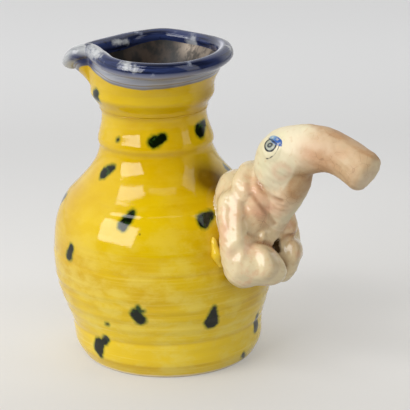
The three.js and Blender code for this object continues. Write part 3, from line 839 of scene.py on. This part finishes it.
class Nodes:
    """Short ways to add and join shader nodes in one tree."""

    def __init__(self, tree):
        self.tree = tree

    def add(self, kind, inputs=None, **settings):
        """A node with its settings; an input is given a value, or joined to a socket."""
        node = self.tree.nodes.new(kind)
        for key, value in settings.items():
            setattr(node, key, value)
        for key, value in (inputs or {}).items():
            if isinstance(value, bpy.types.NodeSocket):
                self.tree.links.new(value, node.inputs[key])
            else:
                node.inputs[key].default_value = value
        return node

    def math(self, operation, a, b=0.0):
        """Result of one operation on two values."""
        return self.add("ShaderNodeMath", {0: a, 1: b}, operation=operation).outputs[0]

    def plus(self, a, b):
        """Sum of two values."""
        return self.math("ADD", a, b)

    def minus(self, a, b):
        """First value less the second."""
        return self.math("SUBTRACT", a, b)

    def times(self, a, b):
        """Product of two values."""
        return self.math("MULTIPLY", a, b)

    def span(self, value, low, high, start=0.0, end=1.0):
        """Value brought from low..high to start..end, smoothly and clamped."""
        inputs = {"Value": value, "From Min": low, "From Max": high, "To Min": start, "To Max": end}
        return self.add("ShaderNodeMapRange", inputs, interpolation_type="SMOOTHSTEP").outputs[0]

    def band(self, value, middle, inner, outer):
        """1 where the value is within inner of the middle, falling to 0 at outer."""
        return self.span(self.math("ABSOLUTE", self.minus(value, middle)), inner, outer, 1.0, 0.0)

    def sway(self, noise, amount):
        """Noise about 0, by an amount."""
        return self.times(self.minus(noise, 0.5), amount)

    def mix(self, share, a, b):
        """Colour a with a share of colour b over it."""
        return self.add("ShaderNodeMix", {0: share, 6: a, 7: b}, data_type="RGBA").outputs[2]

    def coats(self, colour, *layers):
        """Colour under coats laid one over another, each given as its share and its 0 to 255 sRGB colour."""
        for share, tone in layers:
            colour = self.mix(share, colour, srgb(*tone))
        return colour

    def attribute(self, name):
        """Value of a mask of the piece's own mesh."""
        return self.add("ShaderNodeAttribute", attribute_name=name).outputs["Fac"]

    def place(self, scale=(1, 1, 1)):
        """Object coordinates, scaled."""
        where = self.add("ShaderNodeTexCoord").outputs["Object"]
        return self.add("ShaderNodeMapping", {"Vector": where, "Scale": scale}).outputs[0]

    def part(self, vector, axis):
        """One of a vector's X, Y and Z."""
        return self.add("ShaderNodeSeparateXYZ", {0: vector}).outputs[axis]

    def noise(self, vector, scale, detail=3.0, roughness=0.5, distortion=0.0):
        """Soft noise from 0 to 1."""
        inputs = {"Vector": vector, "Scale": scale, "Detail": detail}
        inputs.update({"Roughness": roughness, "Distortion": distortion})
        return self.add("ShaderNodeTexNoise", inputs).outputs["Fac"]

    def group(self, tree, **inputs):
        """What a node group puts out for its inputs."""
        return self.add("ShaderNodeGroup", inputs, node_tree=tree).outputs

    def glazed(self, colour, roughness, height, strength, distance):
        """Glossy glaze: colour and roughness over a bumped surface."""
        bump = self.add("ShaderNodeBump", {"Height": height, "Strength": strength, "Distance": distance})
        shader = self.add("ShaderNodeBsdfPrincipled", {
            "Base Color": colour, "Roughness": roughness, "Normal": bump.outputs[0], "IOR": GLAZE_IOR,
        })
        self.add("ShaderNodeOutputMaterial", {"Surface": shader.outputs[0]})
        return shader


def new_group(name, inputs, outputs):
    """Shader node group with float inputs and outputs; returned with its nodes and what comes in."""
    tree = bpy.data.node_groups.new(name, "ShaderNodeTree")
    for way, sockets in (("INPUT", inputs), ("OUTPUT", outputs)):
        for socket in sockets:
            tree.interface.new_socket(socket, in_out=way, socket_type="NodeSocketFloat")
    nodes = Nodes(tree)
    return tree, nodes, nodes.add("NodeGroupInput").outputs


def glaze_skin_group():
    """Uneven glaze: soft swells, fine orange peel and rare pin specks."""
    tree, nodes, given = new_group("glaze_skin", ["Swell", "Peel"], ["Height", "Specks"])
    where = nodes.place()
    swell = nodes.times(nodes.noise(where, 70.0, 2.0), given["Swell"])
    peel = nodes.times(nodes.noise(where, 700.0, 2.0), given["Peel"])
    speck = nodes.add("ShaderNodeTexVoronoi", {"Vector": where, "Scale": 130.0}).outputs["Distance"]
    chance = nodes.span(nodes.noise(where, 55.0, 1.0), 0.66, 0.7)
    nodes.add("NodeGroupOutput", {
        "Height": nodes.plus(swell, nodes.times(peel, 0.06)),
        "Specks": nodes.times(nodes.span(speck, 0.1, 0.04), chance),
    })
    return tree


def streak_group():
    """Level brush and throwing streaks: noise stretched round the pot, coarse and fine, and a soft cloud."""
    tree, nodes, given = new_group("level_streaks", ["Fineness"], ["Coarse", "Fine", "Cloud"])
    flat = nodes.place((9, 9, 260))
    nodes.add("NodeGroupOutput", {
        "Coarse": nodes.noise(flat, nodes.times(given["Fineness"], 0.8), 4.0, 0.6, 0.3),
        "Fine": nodes.noise(flat, nodes.times(given["Fineness"], 2.6), 3.0, 0.6, 0.2),
        "Cloud": nodes.noise(nodes.place(), 26.0, 3.0, 0.55),
    })
    return tree


def new_material(name):
    """Empty material, and its nodes."""
    material = bpy.data.materials.new(name)
    material.use_nodes = True
    material.node_tree.nodes.clear()
    return material, Nodes(material.node_tree)


def yellow_colour(nodes, streaks):
    """Yellow glaze: deep where it lies thick, pale in streaks and patches, paler near the foot, and darker
    beside the animal with painted shadow.

    Returns the colour, and the height over the floor.
    """
    height = nodes.part(nodes.place(), "Z")
    coarse, fine = streaks["Coarse"], streaks["Fine"]
    brushed = nodes.span(height, 0.075, 0.035, 0.3, 1.0)
    patches = nodes.noise(nodes.place((1, 1, 1.6)), 75.0, 5.0, 0.6, 0.15)
    low = nodes.span(height, 0.09, 0.035, 0.08, 0.5)
    lowest = nodes.span(height, 0.08, 0.02, 0.0, 0.4)
    # Clouds, low glaze, bright, thick and thin streaks, amber painted shadow beside the animal, pale patches
    # and low pale streaks
    colour = nodes.coats(
        srgb(204, 164, 0),
        (nodes.span(streaks["Cloud"], 0.35, 0.65), (215, 180, 4)),
        (nodes.span(height, 0.05, 0.015, 0.0, 0.5), (240, 208, 40)),
        (nodes.times(nodes.span(coarse, 0.5, 0.75, 0.0, 0.4), brushed), (227, 192, 16)),
        (nodes.times(nodes.span(coarse, 0.46, 0.3, 0.0, 0.5), brushed), (190, 145, 0)),
        (nodes.times(nodes.span(fine, 0.5, 0.76, 0.0, 0.3), brushed), (232, 204, 60)),
        (nodes.attribute("painted_shadow"), (122, 90, 0)),
        (nodes.times(nodes.span(patches, 0.42, 0.66), low), (232, 212, 100)),
        (nodes.times(nodes.span(fine, 0.52, 0.78), lowest), (238, 216, 112)),
    )
    return colour, height


def paint_dabs(nodes, colour):
    """Dark green-black dabs with a ragged, feathered green edge, thinner and greener in patches."""
    where = nodes.place()
    edge = nodes.plus(nodes.attribute("dab"), nodes.sway(nodes.noise(where, 420.0, 3.0), 1.8))
    colour = nodes.coats(colour, (nodes.span(edge, 1.9, 0.1, 0.0, 0.8), (92, 108, 14)))
    thin = nodes.span(nodes.noise(where, 330.0, 2.0), 0.52, 0.72)
    return nodes.mix(nodes.span(edge, 0.8, -0.3), colour, nodes.mix(thin, srgb(6, 16, 0), srgb(34, 62, 12)))


def fire_yellow(nodes, colour, skin, streaks, smoothest, roughest):
    """Yellow glaze fired glossy, with its brush streaks a little raised; the inside stays dull."""
    relief = nodes.plus(skin["Height"], nodes.times(streaks["Fine"], 0.25))
    rough = nodes.span(streaks["Coarse"], 0.3, 0.8, smoothest, roughest)
    rough = nodes.plus(rough, nodes.times(nodes.attribute("within"), 0.45))
    nodes.glazed(colour, rough, relief, 0.25, 0.0005)


def pot_glaze(skin_group, streaks_group):
    """Yellow glaze with dabs, pale on ridges, over a pale unglazed foot line; inside painted dark as shade.
    """
    material, nodes = new_material("yellow_glaze_pot")
    streaks = nodes.group(streaks_group, Fineness=1.0)
    skin = nodes.group(skin_group, Swell=1.0, Peel=1.0)
    colour, height = yellow_colour(nodes, streaks)
    ridge = nodes.attribute("ridge")
    colour = nodes.coats(
        colour,
        (nodes.span(ridge, 0.03, 0.2, 0.0, 0.25), (232, 200, 50)),
        (nodes.span(ridge, -0.06, -0.25, 0.0, 0.22), (196, 150, 0)),
    )
    foot = nodes.plus(height, nodes.times(nodes.noise(nodes.place(), 160.0, 2.0), 0.0012))
    # Foot line, seam, painted shade inside, and specks
    colour = nodes.coats(
        paint_dabs(nodes, colour),
        (nodes.span(foot, 0.0026, 0.0019), (236, 216, 164)),
        (nodes.span(height, 0.1190, 0.1208, 0.0, 0.3), (168, 118, 0)),
        (nodes.attribute("within"), (30, 26, 22)),
        (nodes.times(skin["Specks"], 0.6), (90, 66, 20)),
    )
    fire_yellow(nodes, colour, skin, streaks, 0.04, 0.1)
    return material


def collar_glaze(skin_group, streaks_group):
    """Yellow glaze below a brushed lilac ledge with brown lines; inside painted dark as shade, with painted
    reflections in spots.
    """
    material, nodes = new_material("yellow_glaze_collar")
    streaks = nodes.group(streaks_group, Fineness=1.0)
    colour, height = yellow_colour(nodes, streaks)
    seam = nodes.span(height, 0.1230, 0.1211, 0.0, 0.25)
    colour = nodes.coats(paint_dabs(nodes, colour), (seam, (166, 116, 0)))
    wobble = nodes.sway(nodes.noise(nodes.place(), 90.0, 3.0), 1.4)
    above = nodes.plus(nodes.attribute("blue_above"), wobble)
    # Streaks, brown line, lower line and dark spots
    ledge = nodes.coats(
        srgb(144, 148, 160),
        (nodes.span(streaks["Fine"], 0.4, 0.65), (170, 172, 180)),
        (nodes.times(nodes.band(above, 1.9, 0.1, 0.5), 0.8), (132, 118, 98)),
        (nodes.span(above, 1.5, 0.4, 0.0, 0.6), (104, 95, 74)),
        (nodes.attribute("dark"), (46, 54, 92)),
    )
    colour = nodes.mix(nodes.span(above, -0.35, 0.35), colour, ledge)
    grain = nodes.noise(nodes.place((1, 1, 0.5)), 210.0, 4.0, 0.65)
    # Inside: dark brown as painted shade, with a grain
    painted_dark_inside = nodes.coats(
        srgb(20, 18, 16),
        (nodes.span(grain, 0.38, 0.66), (56, 44, 34)),
        # Pale spots inside, as painted reflections
        (nodes.times(nodes.attribute("wear_and_sheen"), nodes.span(grain, 0.4, 0.56, 0.3, 1.0)), (186, 170, 152)),
    )
    colour = nodes.mix(nodes.attribute("within"), colour, painted_dark_inside)
    fire_yellow(nodes, colour, nodes.group(skin_group, Swell=0.8, Peel=1.0), streaks, 0.05, 0.12)
    return material


def rim_glaze(skin_group):
    """Cobalt glaze brushed along the rim, pale under it and on the crest, worn pale on the lip, and pale in
    spots that are wear, a painted highlight and painted reflections.
    """
    material, nodes = new_material("blue_glaze_rim")
    along = nodes.add("ShaderNodeUVMap", uv_map="along_and_round").outputs[0]
    stretched = nodes.add("ShaderNodeMapping", {"Vector": along, "Scale": (9, 10, 1)}).outputs[0]
    brush = nodes.noise(stretched, 1.0, 5.0, 0.62, 0.4)
    patch = nodes.noise(nodes.place(), 130.0, 5.0, 0.65)
    # Worn lip and pale spots, the spots partly wear and partly painted highlight and reflections
    wear_and_sheen = nodes.math("MAXIMUM", nodes.attribute("lip"), nodes.attribute("pale"))
    flakes = nodes.span(nodes.plus(wear_and_sheen, nodes.sway(patch, 2.2)), 0.25, 0.8)
    # Brush marks, pale and dark patches, underside, worn lip and pale spots with a painted highlight and
    # painted reflections, dark spots and crest
    colour = nodes.coats(
        srgb(17, 22, 44),
        (nodes.span(brush, 0.36, 0.6), (42, 53, 92)),
        (nodes.span(patch, 0.58, 0.76, 0.0, 0.5), (98, 110, 146)),
        (nodes.span(patch, 0.44, 0.3, 0.0, 0.8), (14, 17, 32)),
        (nodes.times(nodes.attribute("under"), nodes.span(brush, 0.3, 0.55, 0.5, 1.0)), (152, 155, 174)),
        (nodes.times(flakes, nodes.span(brush, 0.3, 0.55, 0.55, 1.0)), (188, 190, 190)),
        (nodes.times(nodes.attribute("dark"), nodes.span(patch, 0.35, 0.55, 0.6, 1.0)), (46, 54, 92)),
        (nodes.times(nodes.attribute("crest"), nodes.span(brush, 0.3, 0.5, 0.4, 0.95)), (190, 191, 204)),
    )
    skin = nodes.group(skin_group, Swell=1.0, Peel=1.5)
    nodes.glazed(colour, nodes.span(patch, 0.3, 0.7, 0.04, 0.12), skin["Height"], 0.25, 0.0006)
    return material


def cream_colour(nodes):
    """Cream glaze with soft green-cream and warm clouds."""
    where = nodes.place()
    return nodes.coats(
        srgb(220, 212, 176),
        (nodes.span(nodes.noise(where, 60.0, 3.0, 0.55), 0.36, 0.62), (224, 212, 180)),
        (nodes.span(nodes.noise(where, 110.0, 3.0), 0.55, 0.75, 0.0, 0.5), (229, 198, 160)),
    )


def animal_glaze(skin_group):
    """Cream glaze with tan and pink washes, partly painted shade under the jaw, brown in the creases, painted
    shade in the gap between the fists, a faint crackle, and matt on the head.
    """
    material, nodes = new_material("cream_glaze_animal")
    skin = nodes.group(skin_group, Swell=0.8, Peel=1.0)
    where = nodes.place()
    matt = nodes.attribute("matt")
    clouds = nodes.span(nodes.noise(where, 100.0, 4.0, 0.6, 0.4), 0.5, 0.64, 0.0, 0.8)
    body = nodes.mix(clouds, srgb(222, 205, 165), srgb(218, 180, 142))
    broken = nodes.span(nodes.noise(where, 150.0, 4.0, 0.6), 0.36, 0.62, 0.5, 1.1)
    even = nodes.times(nodes.minus(0.85, broken), nodes.times(matt, 0.65))
    broken = nodes.plus(broken, even)
    tan = nodes.times(nodes.attribute("tan_wash_and_shade"), broken)
    mottle = nodes.span(nodes.noise(where, 420.0, 3.0, 0.6), 0.55, 0.72, 0.0, 0.35)
    cells = nodes.add("ShaderNodeTexVoronoi", {"Vector": where, "Scale": 260.0}, feature="DISTANCE_TO_EDGE")
    cracks = nodes.times(nodes.span(cells.outputs["Distance"], 0.035, 0.01), nodes.span(broken, 0.8, 1.05))
    # Pink and tan washes with painted shade under the jaw, creases, painted shade in the gap, mottle, crackle
    # and specks
    colour = nodes.coats(
        nodes.mix(matt, body, cream_colour(nodes)),
        (nodes.times(nodes.attribute("pink_wash"), broken), (220, 170, 138)),
        (nodes.times(tan, 0.9), (172, 125, 76)),
        (nodes.times(nodes.attribute("deep"), 0.9), (146, 98, 58)),
        (nodes.attribute("gap_shade"), (66, 46, 20)),
        (mottle, (204, 168, 122)),
        (nodes.times(cracks, nodes.span(tan, 0.1, 0.6, 0.04, 0.75)), (140, 104, 70)),
        (nodes.times(skin["Specks"], 0.5), (110, 84, 56)),
    )
    rough = nodes.plus(nodes.span(broken, 0.55, 1.1, 0.06, 0.13), nodes.times(matt, 0.42))
    nodes.glazed(colour, rough, skin["Height"], 0.3, 0.0006)
    return material


def oval(nodes, a, b, middle_a, middle_b, half_a, half_b):
    """1 on an oval's line, less inside it: the root of ((a - middle) / half)^2 + ((b - middle) / half)^2."""
    across = nodes.math("DIVIDE", nodes.minus(a, middle_a), half_a)
    along = nodes.math("DIVIDE", nodes.minus(b, middle_b), half_b)
    return nodes.math("SQRT", nodes.plus(nodes.times(across, across), nodes.times(along, along)))


def eye_glaze(skin_group):
    """Painted eye: grey-green iris in a dark ring, dark pupil with a painted highlight, blue upper lid and a
    thin lower line.
    """
    material, nodes = new_material("eye_glaze_painted")
    u = nodes.attribute("eye_u")
    v = nodes.attribute("eye_v")
    rise = nodes.times(nodes.plus(u, v), 0.707)
    fall = nodes.times(nodes.minus(u, v), 0.707)
    where = nodes.place()
    dry = nodes.span(nodes.noise(where, 900.0, 2.0), 0.35, 0.6, 0.55, 1.0)
    iris = oval(nodes, u, v, 0.0, 0.0, 3.1, 3.1)
    pupil = oval(nodes, u, v, -0.1, -0.2, 1.5, 1.2)
    pupil_glint = oval(nodes, u, v, -0.2, -0.1, 0.6, 0.5)
    # Dark ring, iris, pupil and a painted highlight in the pupil
    colour = nodes.coats(
        cream_colour(nodes),
        (nodes.span(iris, 1.08, 0.98), (24, 30, 40)),
        (nodes.span(iris, 0.84, 0.74), (160, 164, 148)),
        (nodes.span(pupil, 1.1, 0.85), (44, 50, 50)),
        (nodes.span(pupil_glint, 1.2, 0.7), (120, 126, 116)),
    )
    lid = nodes.times(nodes.span(oval(nodes, rise, fall, 3.1, 0.7, 1.9, 4.6), 1.05, 0.85), dry)
    blue = nodes.mix(nodes.span(fall, 1.2, -2.2), srgb(24, 86, 164), srgb(120, 158, 184))
    lash = nodes.times(nodes.span(oval(nodes, rise, fall, 2.0, -0.4, 0.45, 3.6), 1.1, 0.7), dry)
    line = nodes.band(oval(nodes, rise, fall, -0.5, 0.0, 5.5, 4.3), 1.0, 0.01, 0.07)
    below = nodes.times(nodes.span(rise, 2.4, 1.6), nodes.span(fall, 0.6, 1.6))
    broken = nodes.span(nodes.noise(where, 380.0, 2.0), 0.4, 0.55, 0.25, 1.0)
    colour = nodes.coats(
        nodes.mix(lid, colour, blue),
        (lash, (26, 36, 58)),
        (nodes.times(nodes.times(line, below), broken), (64, 62, 58)),
    )
    skin = nodes.group(skin_group, Swell=0.6, Peel=0.6)
    nodes.glazed(colour, 0.3, skin["Height"], 0.3, 0.0006)
    return material


def bead_glaze(skin_group, streaks_group):
    """Yellow glaze pooled over the bead of slip."""
    material, nodes = new_material("yellow_glaze_bead")
    cloud = nodes.span(nodes.group(streaks_group, Fineness=1.0)["Cloud"], 0.35, 0.65)
    skin = nodes.group(skin_group, Swell=1.2, Peel=1.0)
    colour = nodes.mix(cloud, srgb(220, 184, 24), srgb(238, 212, 100))
    nodes.glazed(colour, 0.1, skin["Height"], 0.4, 0.0006)
    return material


def floor_paper():
    """Pale matt floor with a paper tooth; to the eye and in the glaze it is paler than by its own light.

    Only camera, mirrored and see-through rays add that, so that it puts no more light on the jug.
    """
    material, nodes = new_material("pale_floor")
    where = nodes.place()
    back = nodes.part(where, "Y")
    near = nodes.span(back, -0.12, -0.3)
    colour = nodes.coats(
        srgb(172, 170, 166),
        (nodes.span(back, -0.3, 0.7), (229, 229, 229)),
        (near, (150, 148, 145)),
    )
    tooth = nodes.noise(where, 500.0, 2.0)
    paper = nodes.glazed(colour, nodes.span(tooth, 0.3, 0.7, 0.85, 0.95), tooth, 0.05, 0.0004)
    path = nodes.add("ShaderNodeLightPath").outputs
    mirrored = nodes.math("MAXIMUM", path["Is Glossy Ray"], path["Is Transmission Ray"])
    seen = nodes.math("MAXIMUM", path["Is Camera Ray"], mirrored)
    lift = nodes.times(nodes.minus(nodes.span(back, 0.4, -0.02), near), seen)
    nodes.tree.links.new(nodes.mix(lift, srgb(0, 0, 0), colour), paper.inputs["Emission Color"])
    paper.inputs["Emission Strength"].default_value = 0.5
    return material


def lay_floor():
    """Level square floor, far larger than the view."""
    corners = np.array([[-1, -1, 0], [1, -1, 0], [1, 1, 0], [-1, 1, 0]]) * FLOOR_HALF
    floor = put_mesh("floor", corners, [[0, 1, 2, 3]])
    floor.data.materials.append(floor_paper())


def softbox(name, bearing, elevation, width, height, power, roll=0):
    """Area lamp aimed at the jug; bearing goes from the camera's side (0) towards +X, in degrees."""
    b, e = math.radians(bearing), math.radians(elevation)
    way = np.array([math.sin(b) * math.cos(e), -math.cos(b) * math.cos(e), math.sin(e)])
    lamp = bpy.data.lights.new(name, "AREA")
    lamp.shape = "RECTANGLE"
    lamp.size = width
    lamp.size_y = height
    lamp.energy = power
    box = bpy.data.objects.new(name, lamp)
    level = unit(np.cross([0.0, 0, 1], way))
    upward = np.cross(way, level)
    lean = math.radians(roll)
    across = math.cos(lean) * level + math.sin(lean) * upward
    turn = Matrix(np.stack([across, np.cross(way, across), way], -1).tolist())
    box.rotation_euler = turn.to_euler()
    box.location = (way * LAMP_DISTANCE + [0, 0, LAMP_AIM]).tolist()
    bpy.context.scene.collection.objects.link(box)
    return box


def light_scene():
    """Softboxes as the glaze reflects them, in a room that is dark in front and pale behind the jug."""
    # Bearing, elevation, width and height in metres, and power in watts
    softbox("left_softbox", -51, 26, 2.2, 1.55, 68)
    softbox("right_softbox", 67, 30, 0.95, 2.9, 14)
    softbox("upper_softbox", -60, 56, 1.54, 0.53, 14, roll=22)
    softbox("overhead_strip", 10, 64, 1.6, 0.3, 1.7)
    softbox("front_fill", 22, 20, 2.0, 2.0, 24).visible_glossy = False
    softbox("top_fill", 60, 80, 2.4, 2.4, 8).visible_glossy = False
    world = bpy.data.worlds.new("pale_room")
    world.use_nodes = True
    nodes = Nodes(world.node_tree)
    way = nodes.add("ShaderNodeTexCoord").outputs["Generated"]
    behind = nodes.minus(nodes.part(way, "Y"), nodes.times(nodes.part(way, "X"), 0.5))
    background = world.node_tree.nodes["Background"]
    background.inputs["Color"].default_value = (1, 1, 1, 1)
    world.node_tree.links.new(nodes.span(behind, -0.15, 0.4, 0.04, 0.88), background.inputs["Strength"])
    bpy.context.scene.world = world


def stand_camera():
    """Camera of the photograph: it looks down and leans a little, on a long lens."""
    tilt, roll = math.radians(CAMERA_DOWN), math.radians(CAMERA_ROLL)
    right = np.array([1.0, 0, 0])
    upward = np.array([0, math.sin(tilt), math.cos(tilt)])
    ahead = np.array([0, math.cos(tilt), -math.sin(tilt)])
    across = math.cos(roll) * right - math.sin(roll) * upward
    over = math.sin(roll) * right + math.cos(roll) * upward
    lens = bpy.data.cameras.new("photo_camera")
    lens.sensor_width = CAMERA_SENSOR
    lens.lens = CAMERA_LENS
    camera = bpy.data.objects.new("photo_camera", lens)
    camera.rotation_euler = Matrix(np.stack([across, over, -ahead], -1).tolist()).to_euler()
    camera.location = CAMERA_PLACE
    bpy.context.scene.collection.objects.link(camera)
    bpy.context.scene.camera = camera


def build_jug():
    """All pieces of the jug, each over the CAD node that it stands for."""
    skin = glaze_skin_group()
    streaks = streak_group()
    finish_piece(thrown_pot(), "pot_body", pot_glaze(skin, streaks))
    finish_piece(flared_collar(), "neck_collar", collar_glaze(skin, streaks))
    finish_piece(rolled_rim(), "rim_roll", rim_glaze(skin))
    cream = animal_glaze(skin)
    for name, (key, cad_node, counts, across, bend) in CLAY_PIECES.items():
        finish_piece(animal_roll(name, key, counts, across, bend), cad_node, cream)
    eye = eye_glaze(skin)
    finish_piece(eye_patch("right_eye_painted", -1), "right_eye", eye)
    finish_piece(eye_patch("left_eye_painted", 1), "left_eye", eye)
    finish_piece(slip_bead(), "slip_bead", bead_glaze(skin, streaks))


build_jug()
lay_floor()
light_scene()
stand_camera()
bpy.context.scene.view_settings.view_transform = "Standard"
